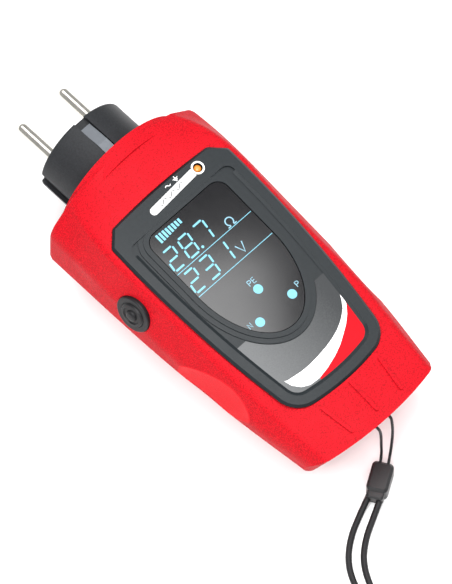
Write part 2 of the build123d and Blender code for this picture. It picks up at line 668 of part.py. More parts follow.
with BuildPart() as earth_socket:
    with BuildSketch(PLUG):
        with Locations((0, -EARTH_SOCKET_OFFSET)):
            Circle(EARTH_SOCKET_WALL_RADIUS)
            Circle(EARTH_SOCKET_RADIUS, mode=Mode.SUBTRACT)
    extrude(amount=-EARTH_SOCKET_LENGTH)
    with BuildSketch(PLUG.offset(-EARTH_SOCKET_LENGTH)):
        with Locations((0, -EARTH_SOCKET_OFFSET)):
            Circle(EARTH_SOCKET_WALL_RADIUS)
    extrude(amount=EARTH_SOCKET_WALL_RADIUS - EARTH_SOCKET_RADIUS)
finish(earth_socket, "earth_socket")

with BuildPart() as terminal_plate:
    with BuildSketch(Plane.XZ.offset(-TERMINAL_Y)):
        with Locations((0, PLUG_AXIS_Z)):
            Circle(TERMINAL_RADIUS)
            Rectangle(TERMINAL_SLOT_WIDTH, 3 * TERMINAL_RADIUS, mode=Mode.SUBTRACT)
            Rectangle(TERMINAL_WEB_WIDTH, TERMINAL_WEB_LENGTH)
        with Locations((-PIN_SPACING / 2, PLUG_AXIS_Z), (PIN_SPACING / 2, PLUG_AXIS_Z)):
            Circle(PIN_TAIL_RADIUS, mode=Mode.SUBTRACT)
    extrude(amount=TERMINAL_THICKNESS)
finish(terminal_plate, "terminal_plate")

# ---------------------------------------------------------------- display stack, from the front down
with BuildPart() as bezel:
    with BuildSketch(FRONT.offset(-BEZEL_SEAT)):
        add(bezel_outline())
    extrude(amount=BEZEL_SEAT + BEZEL_PROUD)
    chamfer(bezel.faces().sort_by(Axis.Z)[-1].edges(), BEZEL_BEVEL)
    with BuildSketch(FRONT.offset(RECESS_FLOOR)):
        add(recess_outline())
    extrude(amount=BEZEL_SEAT, mode=Mode.SUBTRACT)
    # the stepped surround that stands round the window
    for grow, height in ((SURROUND_OUTER, SURROUND_OUTER_TOP), (SURROUND_INNER, SURROUND_INNER_TOP)):
        with BuildSketch(FRONT.offset(RECESS_FLOOR)):
            add(window_outline(grow))
        extrude(amount=height - RECESS_FLOOR)
    with BuildSketch(FRONT.offset(WINDOW_TOP - WINDOW_THICKNESS)):
        add(window_outline(FIT_GAP / 2))
    extrude(amount=BEZEL_SEAT * 2, mode=Mode.SUBTRACT)
    # the skirt that passes through the shell, and the way through for the display
    with BuildSketch(FRONT.offset(-SKIRT_DROP)):
        with Locations((0, LCD_Y)):
            RectangleRounded(SKIRT_X, SKIRT_Y, SKIRT_ROUNDING)
    extrude(amount=SKIRT_DROP - BEZEL_SEAT)
    with BuildSketch(FRONT.offset(-SKIRT_DROP)):
        with Locations((0, LCD_Y)):
            RectangleRounded(SKIRT_X - 2 * SKIRT_WALL, SKIRT_Y - 2 * SKIRT_WALL, SKIRT_ROUNDING)
    extrude(amount=SKIRT_DROP - BEZEL_SEAT, mode=Mode.SUBTRACT)
    with BuildSketch(FRONT.offset(-BEZEL_SEAT)):
        add(window_outline(-WINDOW_LEDGE))
    extrude(amount=BEZEL_SEAT, mode=Mode.SUBTRACT)
    # the lamp's hole, with a small raised rim, and the thin slot beside the window
    with BuildSketch(FRONT.offset(BEZEL_PROUD)):
        with Locations(LED_PLACE):
            Circle(LED_RIM_RADIUS)
    extrude(amount=LED_RIM_HEIGHT)
    with BuildSketch(FRONT.offset(-BEZEL_SEAT)):
        with Locations(LED_PLACE):
            Circle(LED_RADIUS + FIT_GAP)
    extrude(amount=BEZEL_SEAT * 2, mode=Mode.SUBTRACT)
    with BuildSketch(FRONT.offset(SLOT_FLOOR)):
        with Locations(Location(SLOT_PLACE, 90)):
            SlotOverall(SLOT_LENGTH, SLOT_WIDTH)
    extrude(amount=BEZEL_SEAT, mode=Mode.SUBTRACT)
finish(bezel, "bezel")

with BuildPart() as display_window:
    with BuildSketch(FRONT.offset(WINDOW_TOP - WINDOW_THICKNESS)):
        add(window_outline())
    extrude(amount=WINDOW_THICKNESS)
    chamfer(display_window.faces().sort_by(Axis.Z)[-1].edges(), WINDOW_BEVEL)
finish(display_window, "display_window")

with BuildPart() as face_label:
    with BuildSketch(FRONT.offset(RECESS_FLOOR)):
        add(recess_outline(LABEL_MARGIN))
        with Locations((0, FACE_LABEL_TOP_Y)):
            Rectangle(2 * BEZEL_WIDE_X, 4 * BEZEL_WIDE_X, align=(Align.CENTER, Align.MIN), mode=Mode.SUBTRACT)
        add(window_outline(SURROUND_OUTER + LABEL_MARGIN), mode=Mode.SUBTRACT)
    extrude(amount=FACE_LABEL_THICKNESS)
finish(face_label, "face_label")


def display_layer(x_size, y_size, drop, thickness):
    """A flat rectangular layer of the display stack, its top at a given drop below the front."""
    with BuildPart() as layer:
        with BuildSketch(FRONT.offset(-drop - thickness)):
            with Locations((0, LCD_Y)):
                Rectangle(x_size, y_size)
        extrude(amount=thickness)
    return layer


finish(display_layer(LCD_X_SIZE, LCD_Y_SIZE, LCD_DROP, LCD_THICKNESS), "lcd_panel")
BACKLIGHT_DROP = LCD_DROP + LCD_THICKNESS
finish(display_layer(LCD_X_SIZE, LCD_Y_SIZE, BACKLIGHT_DROP, BACKLIGHT_THICKNESS), "backlight_panel")

with BuildPart() as lcd_frame:
    with BuildSketch(FRONT.offset(-DISPLAY_BOARD_DROP)):
        with Locations((0, LCD_Y)):
            RectangleRounded(SKIRT_X, SKIRT_Y, SKIRT_ROUNDING)
            Rectangle(LCD_X_SIZE, LCD_Y_SIZE, mode=Mode.SUBTRACT)
    extrude(amount=DISPLAY_BOARD_DROP - LCD_DROP)
finish(lcd_frame, "lcd_frame")

with BuildPart() as mains_led:
    with BuildSketch(FRONT.offset(-DISPLAY_BOARD_DROP)):
        with Locations(LED_PLACE):
            Circle(LED_FLANGE_RADIUS)
    extrude(amount=LED_FLANGE)
    with BuildSketch(FRONT.offset(-DISPLAY_BOARD_DROP)):
        with Locations(LED_PLACE):
            Circle(LED_RADIUS)
    extrude(amount=DISPLAY_BOARD_DROP + LED_TOP)
    fillet(mains_led.faces().sort_by(Axis.Z)[-1].edges(), LED_DOME)
finish(mains_led, "mains_led")

with BuildPart() as display_board:
    with BuildSketch(FRONT.offset(-DISPLAY_BOARD_DROP - BOARD_THICKNESS)):
        with Locations((0, DISPLAY_BOARD_Y)):
            RectangleRounded(DISPLAY_BOARD_X_SIZE, DISPLAY_BOARD_Y_SIZE, BOARD_CORNER)
        with Locations(*DISPLAY_SCREW_PLACES):
            Circle(BOARD_SCREW_RADIUS, mode=Mode.SUBTRACT)
    extrude(amount=BOARD_THICKNESS)
finish(display_board, "display_board")

with BuildPart() as display_screws:
    with BuildSketch(FRONT.offset(-DISPLAY_BOARD_DROP - BOARD_THICKNESS - BOARD_SCREW_HEAD)):
        with Locations(*DISPLAY_SCREW_PLACES):
            Circle(BOARD_SCREW_HEAD_RADIUS)
    extrude(amount=BOARD_SCREW_HEAD)
    with BuildSketch(FRONT.offset(-DISPLAY_BOARD_DROP - BOARD_THICKNESS)):
        with Locations(*DISPLAY_SCREW_PLACES):
            Circle(BOARD_SCREW_RADIUS)
    extrude(amount=BOARD_THICKNESS + BOARD_SCREW_REACH - SCREW_END_ROOM)
finish(display_screws, "display_screws")

# ---------------------------------------------------------------- main board and what stands on it
BOARD_TOP = BOARD_Z + BOARD_THICKNESS

with BuildPart() as main_board:
    with BuildSketch(Plane.XY.offset(BOARD_Z)):
        with Locations((0, MAIN_BOARD_Y)):
            RectangleRounded(MAIN_BOARD_X_SIZE, MAIN_BOARD_Y_SIZE, BOARD_CORNER)
        with Locations(*BOARD_SCREW_PLACES):
            Circle(BOARD_SCREW_RADIUS, mode=Mode.SUBTRACT)
    extrude(amount=BOARD_THICKNESS)
finish(main_board, "main_board")

with BuildPart() as board_screws:
    add(columns(BOARD_SCREW_PLACES, BOARD_SCREW_HEAD_RADIUS, BOARD_TOP, BOARD_TOP + BOARD_SCREW_HEAD))
    board_screw_low = BOARD_Z - BOARD_SCREW_REACH + SCREW_END_ROOM
    add(columns(BOARD_SCREW_PLACES, BOARD_SCREW_RADIUS, board_screw_low, BOARD_TOP))
finish(board_screws, "board_screws")


def board_block(name, x_size, y_size, height, places, rounding):
    """A moulded component, or several alike, standing on the main board."""
    with BuildPart() as block:
        with BuildSketch(Plane.XY.offset(BOARD_TOP)):
            with Locations(*places):
                RectangleRounded(x_size, y_size, rounding)
        extrude(amount=height)
        chamfer(block.faces().filter_by(Axis.Z).group_by(Axis.Z)[-1].edges(), rounding / 2)
    finish(block, name)


for block in MOULDED_COMPONENTS:
    board_block(*block)


def board_cans(name, radius, height, places, rounding):
    """A round component, or several alike, standing on the main board."""
    with BuildPart() as cans:
        with BuildSketch(Plane.XY.offset(BOARD_TOP)):
            with Locations(*places):
                Circle(radius)
        extrude(amount=height)
        fillet(cans.faces().filter_by(Axis.Z).group_by(Axis.Z)[-1].edges(), rounding)
    finish(cans, name)


for can in ROUND_COMPONENTS:
    board_cans(*can)

with BuildPart() as fuse:
    with BuildSketch(Plane.YZ.offset(FUSE_X - FUSE_LENGTH / 2)):
        with Locations((FUSE_Y, FUSE_Z)):
            Circle(FUSE_RADIUS)
    extrude(amount=FUSE_LENGTH)
finish(fuse, "fuse")

with BuildPart() as fuse_clips:
    for end in (-1, 1):
        with BuildSketch(Plane.YZ.offset(FUSE_X + end * FUSE_CLIP_OFFSET - FUSE_CLIP_WIDTH / 2)):
            with Locations((FUSE_Y, (BOARD_TOP + FUSE_Z) / 2)):
                Rectangle(2 * FUSE_RADIUS + 2 * FUSE_CLIP_WALL, FUSE_Z - BOARD_TOP)
            with Locations((FUSE_Y, FUSE_Z)):
                Circle(FUSE_RADIUS, mode=Mode.SUBTRACT)
        extrude(amount=FUSE_CLIP_WIDTH)
finish(fuse_clips, "fuse_clips")

with BuildPart() as board_header:
    header_low = HEADER_Y - HEADER_DEPTH / 2
    header_high = HEADER_Y + HEADER_DEPTH / 2
    header_drop = (DISPLAY_BOARD_DROP + BOARD_THICKNESS + HEADER_CLEARANCE) / cos(radians(FRONT_TILT))
    with BuildSketch(Plane.YZ.offset(HEADER_X - HEADER_LENGTH / 2)):
        with BuildLine():
            Polyline(
                (header_low, BOARD_TOP), (header_high, BOARD_TOP),
                (header_high, front_z(header_high) - header_drop),
                (header_low, front_z(header_low) - header_drop), close=True,
            )
        make_face()
    extrude(amount=HEADER_LENGTH)
finish(board_header, "board_header")


# ---------------------------------------------------------------- leads from the plug to the board
def lead(name, route):
    """An insulated lead from the plug's terminals to a pad on the main board."""
    with BuildPart() as wire:
        with BuildLine() as path:
            FilletPolyline(*route, radius=LEAD_BEND)
        with BuildSketch(Plane(origin=path.line @ 0, z_dir=path.line % 0)):
            Circle(LEAD_RADIUS)
        sweep()
    finish(wire, name)


TAIL_Y = TERMINAL_Y - TERMINAL_THICKNESS - PIN_TAIL_PROUD
for name, side in (("live_lead", -1), ("neutral_lead", 1)):
    terminal_x = side * PIN_SPACING / 2
    pad_x = side * LEAD_PAD_X
    lead(name, [
        (terminal_x, TAIL_Y, PLUG_AXIS_Z), (terminal_x, LEAD_TURN_Y, PLUG_AXIS_Z),
        (pad_x, LEAD_PAD_Y, LEAD_LOW_Z), (pad_x, LEAD_PAD_Y, BOARD_TOP),
    ])
EARTH_TAB_Y = CLIP_PROFILE[4][0]
EARTH_TAB_Z = PLUG_AXIS_Z - CLIP_GROOVE_FLOOR - LEAD_RADIUS
lead("earth_lead", [
    (0, EARTH_TAB_Y, EARTH_TAB_Z), (0, EARTH_TAB_Y - EARTH_LEAD_START, EARTH_TAB_Z),
    (0, LEAD_TURN_Y, LEAD_LOW_Z), (0, EARTH_PAD_Y, LEAD_LOW_Z), (0, EARTH_PAD_Y, BOARD_TOP),
])


# ---------------------------------------------------------------- push button on the left side
with BuildPart() as button_ring:
    with BuildSketch(BUTTON):
        Circle(BUTTON_RING_RADIUS)
    extrude(amount=BUTTON_RING_THICKNESS)
    fillet(button_ring.faces().sort_by(Axis.X)[0].edges(), BUTTON_RING_ROUNDING)
    with BuildSketch(BUTTON.offset(-BUTTON_SLEEVE_LENGTH)):
        Circle(BUTTON_SLEEVE_RADIUS)
    extrude(amount=BUTTON_SLEEVE_LENGTH)
    with BuildSketch(BUTTON.offset(-BUTTON_SLEEVE_LENGTH)):
        Circle(BUTTON_BORE_RADIUS)
    extrude(amount=2 * BUTTON_SLEEVE_LENGTH, mode=Mode.SUBTRACT)
finish(button_ring, "button_ring")

# the cap is drawn in the plane through the button's axis, then turned about that axis
BUTTON_SIDE_VIEW = Plane(origin=BUTTON.origin, x_dir=BUTTON.x_dir, z_dir=BUTTON.x_dir.cross(BUTTON.z_dir))
BUTTON_AXIS = Axis(BUTTON.origin, BUTTON.z_dir)

with BuildPart() as button_cap:
    with BuildSketch(BUTTON_SIDE_VIEW):
        with BuildLine():
            Polyline(*BUTTON_CAP_PROFILE, close=True)
        make_face()
    revolve(axis=BUTTON_AXIS)
finish(button_cap, "button_cap")


def button_disc(name, radius, low, high):
    """A round piece on the button's axis."""
    with BuildPart() as disc:
        with BuildSketch(BUTTON.offset(low)):
            Circle(radius)
        extrude(amount=high - low)
    finish(disc, name)


button_disc("button_plunger", PLUNGER_RADIUS, PLUNGER_END, BUTTON_CAP_PROFILE[0][1])
button_disc("switch_stem", STEM_RADIUS, STEM_END, PLUNGER_END)

with BuildPart() as push_switch:
    with BuildSketch(BUTTON.offset(SWITCH_BOARD_TOP)):
        Rectangle(SWITCH_SIZE, SWITCH_SIZE)
    extrude(amount=SWITCH_TOP - SWITCH_BOARD_TOP)
    with BuildSketch(BUTTON.offset(SWITCH_BORE_FLOOR)):
        Circle(STEM_RADIUS + FIT_GAP)
    extrude(amount=SWITCH_TOP - SWITCH_BORE_FLOOR, mode=Mode.SUBTRACT)
finish(push_switch, "push_switch")

with BuildPart() as switch_board:
    with BuildSketch(BUTTON.offset(SWITCH_BOARD_TOP - BOARD_THICKNESS)):
        Rectangle(SWITCH_BOARD_SIZE, SWITCH_BOARD_SIZE)
    extrude(amount=BOARD_THICKNESS)
finish(switch_board, "switch_board")

with BuildPart() as switch_bracket:
    seat_depth = SWITCH_BOARD_TOP - BOARD_THICKNESS
    seat_low = BUTTON_UPRIGHT.to_local_coords(BUTTON.from_local_coords((0, BRACKET_REACH, seat_depth)))
    seat_high = BUTTON_UPRIGHT.to_local_coords(BUTTON.from_local_coords((0, -BRACKET_REACH, seat_depth)))
    with BuildSketch(BUTTON_UPRIGHT):
        with BuildLine():
            Polyline(
                (BRACKET_FOOT, BOARD_TOP), (seat_low.X, seat_low.Y), (seat_high.X, seat_high.Y),
                (BRACKET_BACK, BOARD_TOP), close=True,
            )
        make_face()
    extrude(amount=BRACKET_WIDTH / 2, both=True)
finish(switch_bracket, "switch_bracket")


# ---------------------------------------------------------------- wrist strap
def cord_tube(points, radius, fixed_radii=None):
    """A round tube through a route of straight runs joined by arcs as large as the runs allow."""
    route = [Vector(*point) for point in points]
    radii = []
    for index in range(1, len(route) - 1):
        before = route[index] - route[index - 1]
        after = route[index + 1] - route[index]
        turn = radians(before.get_angle(after))
        largest = ARC_SHARE * min(before.length, after.length) / tan(turn / 2)
        radii.append((fixed_radii or {}).get(index, largest))
    with BuildPart() as tube:
        with BuildLine():
            centre_line = FilletPolyline(*route, radius=radii)
        with BuildSketch(Plane(origin=centre_line @ 0, z_dir=centre_line % 0)):
            Circle(radius)
        sweep()
    section_volume = pi * radius**2 * centre_line.length
    print("cord", round(centre_line.length, 1), "mm, radii", [round(value, 1) for value in radii])
    print("  volume over section times length", round(tube.part.volume / section_volume, 4))
    return tube.part


with BuildPart() as eyelet_cord:
    add(cord_tube(EYELET_ROUTE, EYELET_CORD_RADIUS, EYELET_POST_BENDS))
finish(eyelet_cord, "eyelet_cord")

with BuildPart() as wrist_cord:
    add(cord_tube(WRIST_ROUTE_NEAR, WRIST_CORD_RADIUS))
    add(cord_tube(WRIST_ROUTE_FAR, WRIST_CORD_RADIUS))
finish(wrist_cord, "wrist_cord")

with BuildPart() as wrist_coil:
    with BuildSketch():
        with Locations(COIL_CENTRE):
            Circle(COIL_RADIUS)
    extrude(amount=2 * WRIST_CORD_RADIUS)
    fillet(wrist_coil.edges(), COIL_ROUNDING)
finish(wrist_coil, "wrist_coil")

with BuildPart() as strap_block:
    block_turn = Plane(origin=(*BLOCK_CENTRE, 0), x_dir=(*BLOCK_HEADING, 0), z_dir=(0, 0, 1))
    with BuildSketch(block_turn):
        RectangleRounded(BLOCK_LENGTH, BLOCK_WIDTH, BLOCK_ROUNDING)
    extrude(amount=BLOCK_HEIGHT)
    chamfer(strap_block.faces().sort_by(Axis.Z)[-1].edges(), BLOCK_BEVEL)
finish(strap_block, "strap_block")
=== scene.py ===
"""The looks of a hand-held earth loop tester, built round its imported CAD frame."""
import json
from math import atan, cos, pi, radians, sin

import bmesh
import bpy
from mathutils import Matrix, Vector


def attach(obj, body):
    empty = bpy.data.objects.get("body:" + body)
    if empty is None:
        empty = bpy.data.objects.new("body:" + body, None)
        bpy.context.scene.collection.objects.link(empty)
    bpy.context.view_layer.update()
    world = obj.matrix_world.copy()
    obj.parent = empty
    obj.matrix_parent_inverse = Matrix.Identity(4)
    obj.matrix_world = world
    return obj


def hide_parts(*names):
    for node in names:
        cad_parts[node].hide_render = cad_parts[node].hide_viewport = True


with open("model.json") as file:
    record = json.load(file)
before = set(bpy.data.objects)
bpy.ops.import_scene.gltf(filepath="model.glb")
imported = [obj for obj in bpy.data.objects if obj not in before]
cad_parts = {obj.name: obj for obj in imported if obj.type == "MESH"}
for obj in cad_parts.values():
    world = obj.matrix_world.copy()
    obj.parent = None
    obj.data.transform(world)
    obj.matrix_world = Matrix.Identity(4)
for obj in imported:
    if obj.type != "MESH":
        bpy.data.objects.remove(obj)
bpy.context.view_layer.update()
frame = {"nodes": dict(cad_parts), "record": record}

nodes = frame["nodes"]
MM = 0.001

# ---------------------------------------------------------------- driving dimensions, in millimetres
FRONT_SLOPE = 0.1673
FRONT_HEIGHT = 46.24
FRONT_TILT = atan(FRONT_SLOPE)
FRONT_NORMAL = Vector((0, -sin(FRONT_TILT), cos(FRONT_TILT)))
PARTING_Z = 18.0
SEAM_WIDTH = 0.3
SCOOP_RADIUS = 40.0
SCOOP_FLOOR_X = 30.4
SCOOP_CENTRE = (-36.0, 27.0)
# the scoops' painted highlight covers this share of the case's colour and fades out between these depths past
# the radius
SCOOP_HIGHLIGHT_COVER = 0.75
SCOOP_HIGHLIGHT_FADE = (0.1, 0.25)
# for the right-hand scoop; the left-hand one leans the other way
SCOOP_AXIS = Vector((-0.1, -0.646, 1)).normalized()

LABEL_TOP = -0.2
WINDOW_TOP = 0.2
HEADER_TOP = 0.5
PRINT = 0.02

CAMERA_AZIMUTH = -44.4
CAMERA_ELEVATION = 63.6
CAMERA_DISTANCE = 4000.0
CAMERA_AIM = (-9.0, -16.0, 43.6)
VIEW_HEIGHT = 193.4
SENSOR = 36.0


def front(x, y, height=0.0):
    """A point over the sloping front face, in metres: x and y in plan, height along its normal."""
    on_face = Vector((x, y, FRONT_HEIGHT + FRONT_SLOPE * y))
    return (on_face + height * FRONT_NORMAL) * MM


# ---------------------------------------------------------------- camera
def direction(azimuth, elevation):
    """The unit vector from the object towards a viewer."""
    a, e = radians(azimuth), radians(elevation)
    return Vector((sin(a) * cos(e), -cos(a) * cos(e), sin(e)))


camera = bpy.data.objects.new("camera", bpy.data.cameras.new("camera"))
bpy.context.scene.collection.objects.link(camera)
bpy.context.scene.camera = camera
towards_viewer = direction(CAMERA_AZIMUTH, CAMERA_ELEVATION)
camera.location = (Vector(CAMERA_AIM) + CAMERA_DISTANCE * towards_viewer) * MM
camera.rotation_mode = "QUATERNION"
camera.rotation_quaternion = (-towards_viewer).to_track_quat("-Z", "Y")
camera.data.sensor_width = SENSOR
camera.data.lens = SENSOR * CAMERA_DISTANCE / VIEW_HEIGHT


# ---------------------------------------------------------------- cords
def cord_curve(name, route, diameter):
    """A smooth round cord: a NURBS line that follows a route given in millimetres."""
    data = bpy.data.curves.new(name, "CURVE")
    data.dimensions = "3D"
    data.bevel_depth = diameter / 2 * MM
    data.bevel_resolution = 5
    data.resolution_u = 10
    data.use_fill_caps = True
    spline = data.splines.new("NURBS")
    spline.points.add(len(route) - 1)
    for point, place in zip(spline.points, route):
        point.co = (*(Vector(place) * MM), 1)
    spline.order_u = 3
    spline.use_endpoint_u = True
    cord = bpy.data.objects.new(name, data)
    bpy.context.scene.collection.objects.link(cord)
    return cord


EYELET_CORD_DIAMETER = 1.0
EYELET_ROUTE = [
    (-1.6, -85.5, 3.9), (1.2, -83.6, 5.0), (2.7, -82.8, 10.5), (3.3, -82.5, 17.5), (3.15, -82.3, 24.0),
    (3.3, -81.4, 28.0), (2.85, -74.35, 28.2), (-2.85, -74.35, 28.2), (-2.9, -81.4, 28.0),
    (-1.6, -81.5, 23.5), (-0.8, -81.2, 17.0), (-0.5, -81.0, 10.5), (-1.0, -81.8, 5.2), (-3.1, -83.2, 3.8),
]
WRIST_CORD_DIAMETER = 2.2
WRIST_ROUTE_NEAR = [
    (-12.8, -88.3, 2.8), (-20.0, -90.9, 1.3), (-28.8, -95.0, 1.1), (-36.0, -101.2, 1.1), (-40.3, -109.5, 1.1),
]
WRIST_ROUTE_FAR = [
    (-10.8, -91.7, 2.8), (-17.5, -94.8, 1.3), (-25.8, -99.0, 1.1), (-32.5, -104.9, 1.1), (-37.2, -114.2, 1.1),
]
WRIST_TO_COIL = (-41.3, -116.8, 1.1)
COIL_TO_WRIST = (-38.3, -119.6, 1.1)
COIL_CENTRE = (-54.4, -119.5)
COIL_START = -10.0
COIL_PITCH = 4.8
COIL_OUTER = 16.2
COIL_INNER = 13.8
COIL_STEPS = 16
COIL_EYE = 4.5
COIL_EYE_STEPS = 5


def coil_point(angle, radius):
    """A point of the coil's flat spiral, at an angle in degrees from its start, turning clockwise."""
    turn = radians(COIL_START - angle)
    return (
        COIL_CENTRE[0] + radius * cos(turn), COIL_CENTRE[1] + radius * sin(turn),
        WRIST_CORD_DIAMETER / 2,
    )


def spiral(radius, turns):
    """The points of one strand of the coil, from its outer end inwards."""
    count = round(turns * COIL_STEPS)
    return [
        coil_point(360 * step / COIL_STEPS, radius - COIL_PITCH * step / COIL_STEPS)
        for step in range(1, count)
    ]


def coil_eye():
    """The S in the middle of the coil, where the inner strand turns back into the outer one."""
    points = []
    for side in (1, -1):
        for step in range(COIL_EYE_STEPS + 1):
            share = step / COIL_EYE_STEPS if side == 1 else 1 - step / COIL_EYE_STEPS
            bend = radians(180 * share)
            start = radians(COIL_START)
            along = side * COIL_EYE * (1 + cos(bend))
            across = -side * COIL_EYE * sin(bend)
            points.append((
                COIL_CENTRE[0] + along * cos(start) - across * sin(start),
                COIL_CENTRE[1] + along * sin(start) + across * cos(start),
                WRIST_CORD_DIAMETER / 2,
            ))
    return points[:COIL_EYE_STEPS] + points[COIL_EYE_STEPS + 1:]


inner_strand = spiral(COIL_INNER, 1.0)
outer_strand = spiral(COIL_OUTER, 1.5)
wrist_route = (
    WRIST_ROUTE_NEAR + [WRIST_TO_COIL] + inner_strand + coil_eye()
    + outer_strand[::-1] + [COIL_TO_WRIST] + WRIST_ROUTE_FAR[::-1]
)
eyelet_cord = cord_curve("strap_eyelet_cord", EYELET_ROUTE, EYELET_CORD_DIAMETER)
wrist_cord = cord_curve("strap_wrist_cord", wrist_route, WRIST_CORD_DIAMETER)


# ---------------------------------------------------------------- mesh helpers
def add_object(name, mesh, material, body="case"):
    """Links a mesh as a piece that rides on a body and takes its finish from a slot."""
    piece = bpy.data.objects.new(name, mesh)
    bpy.context.scene.collection.objects.link(piece)
    mesh.materials.clear()
    mesh.materials.append(material)
    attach(piece, body)
    return piece


def plate_mesh(name, outlines, low, high):
    """A thin plate over the front face from closed outlines; an outline inside another is a hole."""
    data = bpy.data.curves.new(name, "CURVE")
    data.dimensions = "2D"
    data.fill_mode = "BOTH"
    data.extrude = (high - low) / 2
    for outline in outlines:
        spline = data.splines.new("POLY")
        spline.points.add(len(outline) - 1)
        for point, (x, y) in zip(spline.points, outline):
            point.co = (x, y, 0, 1)
        spline.use_cyclic_u = True
    shape = bpy.data.objects.new(name, data)
    mesh = bpy.data.meshes.new_from_object(shape)
    bpy.data.objects.remove(shape)
    bpy.data.curves.remove(data)
    middle = (low + high) / 2
    for vertex in mesh.vertices:
        x, y, z = vertex.co
        vertex.co = front(x, y, z + middle)
    return mesh


def join_meshes(name, meshes):
    """One mesh out of several."""
    joined = bmesh.new()
    for mesh in meshes:
        joined.from_mesh(mesh)
    result = bpy.data.meshes.new(name)
    joined.to_mesh(result)
    joined.free()
    return result


def arc(centre, radius, start, end, steps=16):
    """Points along an arc in plan, angles in degrees."""
    points = []
    for step in range(steps + 1):
        turn = radians(start + (end - start) * step / steps)
        points.append((centre[0] + radius * cos(turn), centre[1] + radius * sin(turn)))
    return points


def band(points, width):
    """The outline of a stroke of even width along open points in plan."""
    left, right = [], []
    for index, point in enumerate(points):
        before = Vector(points[max(index - 1, 0)])
        after = Vector(points[min(index + 1, len(points) - 1)])
        run = (after - before).normalized()
        across = Vector((-run.y, run.x)) * width / 2
        left.append(tuple(Vector(point) + across))
        right.append(tuple(Vector(point) - across))
    return left + right[::-1]


# ---------------------------------------------------------------- materials
def new_material(name):
    """A new node material, given back with its node tree and its shader node."""
    material = bpy.data.materials.new(name)
    material.use_nodes = True
    return material, material.node_tree, material.node_tree.nodes["Principled BSDF"]


def link(tree, source, target):
    """Joins one node's output to another's input."""
    tree.links.new(source, target)


NOISE_DETAIL = 3.0
NOISE_ROUGHNESS = 0.6


def noise(tree, scale):
    """A noise pattern in the object's own coordinates, its scale per millimetre."""
    place = tree.nodes.new("ShaderNodeTexCoord")
    texture = tree.nodes.new("ShaderNodeTexNoise")
    texture.inputs["Scale"].default_value = scale / MM
    texture.inputs["Detail"].default_value = NOISE_DETAIL
    texture.inputs["Roughness"].default_value = NOISE_ROUGHNESS
    link(tree, place.outputs["Object"], texture.inputs["Vector"])
    return texture.outputs["Fac"]


def ramp(tree, source, stops):
    """A colour ramp over a value; stops are (position, colour)."""
    node = tree.nodes.new("ShaderNodeValToRGB")
    elements = node.color_ramp.elements
    while len(elements) < len(stops):
        elements.new(0.5)
    for element, (position, colour) in zip(elements, stops):
        element.position = position
        element.color = (*colour, 1)
    link(tree, source, node.inputs["Fac"])
    return node.outputs["Color"]


def remap(tree, source, low, high, new_low, new_high):
    """A value moved from one range to another, held at its ends."""
    node = tree.nodes.new("ShaderNodeMapRange")
    for name, value in (("From Min", low), ("From Max", high), ("To Min", new_low), ("To Max", new_high)):
        node.inputs[name].default_value = value
    link(tree, source, node.inputs["Value"])
    return node.outputs["Result"]


def bump(tree, shader, source, height):
    """Surface relief from a pattern, its height in millimetres."""
    node = tree.nodes.new("ShaderNodeBump")
    node.inputs["Distance"].default_value = height * MM
    link(tree, source, node.inputs["Height"])
    link(tree, node.outputs["Normal"], shader.inputs["Normal"])


def shade(colour, factor):
    """A colour made lighter or darker."""
    return tuple(min(1.0, channel * factor) for channel in colour)


def plastic(
    name, colour, roughness, grain=2.0, relief=0.03, contrast=0.1, specular=0.5, blend=0.2,
):
    """Moulded plastic: a fine grain with uneven colour and gloss."""
    material, tree, shader = new_material(name)
    pattern = noise(tree, grain)
    stops = [(0.5 - blend, shade(colour, 1 - contrast)), (0.5 + blend, shade(colour, 1 + contrast))]
    link(tree, ramp(tree, pattern, stops), shader.inputs["Base Color"])
    smear = noise(tree, 0.05)
    link(tree, remap(tree, smear, 0.3, 0.7, roughness * 0.9, roughness * 1.12), shader.inputs["Roughness"])
    shader.inputs["Specular IOR Level"].default_value = specular
    bump(tree, shader, pattern, relief)
    return material


def metal(name, colour, roughness, grain=0.6):
    """Plated or drawn metal with fine marks along it."""
    material, tree, shader = new_material(name)
    shader.inputs["Metallic"].default_value = 1.0
    pattern = noise(tree, grain)
    stops = [(0.3, shade(colour, 0.9)), (0.7, shade(colour, 1.06))]
    link(tree, ramp(tree, pattern, stops), shader.inputs["Base Color"])
    link(tree, remap(tree, pattern, 0.3, 0.7, roughness * 0.8, roughness * 1.25), shader.inputs["Roughness"])
    bump(tree, shader, pattern, 0.004)
    return material


def mix_colour(material, mask, colour):
    """Covers a material's base colour with another where the mask is one."""
    tree = material.node_tree
    shader = tree.nodes["Principled BSDF"]
    node = tree.nodes.new("ShaderNodeMix")
    node.data_type = "RGBA"
    colour_inputs = [socket for socket in node.inputs if socket.type == "RGBA"]
    colour_output = [socket for socket in node.outputs if socket.type == "RGBA"][0]
    link(tree, shader.inputs["Base Color"].links[0].from_socket, colour_inputs[0])
    colour_inputs[1].default_value = (*colour, 1)
    link(tree, mask, node.inputs["Factor"])
    link(tree, colour_output, shader.inputs["Base Color"])


def vector_step(tree, operation, source, other=None):
    """A vector operation on a source and, where it takes one, a fixed second vector."""
    node = tree.nodes.new("ShaderNodeVectorMath")
    node.operation = operation
    if other is not None:
        node.inputs[1].default_value = other
    link(tree, source, node.inputs[0])
    return node.outputs


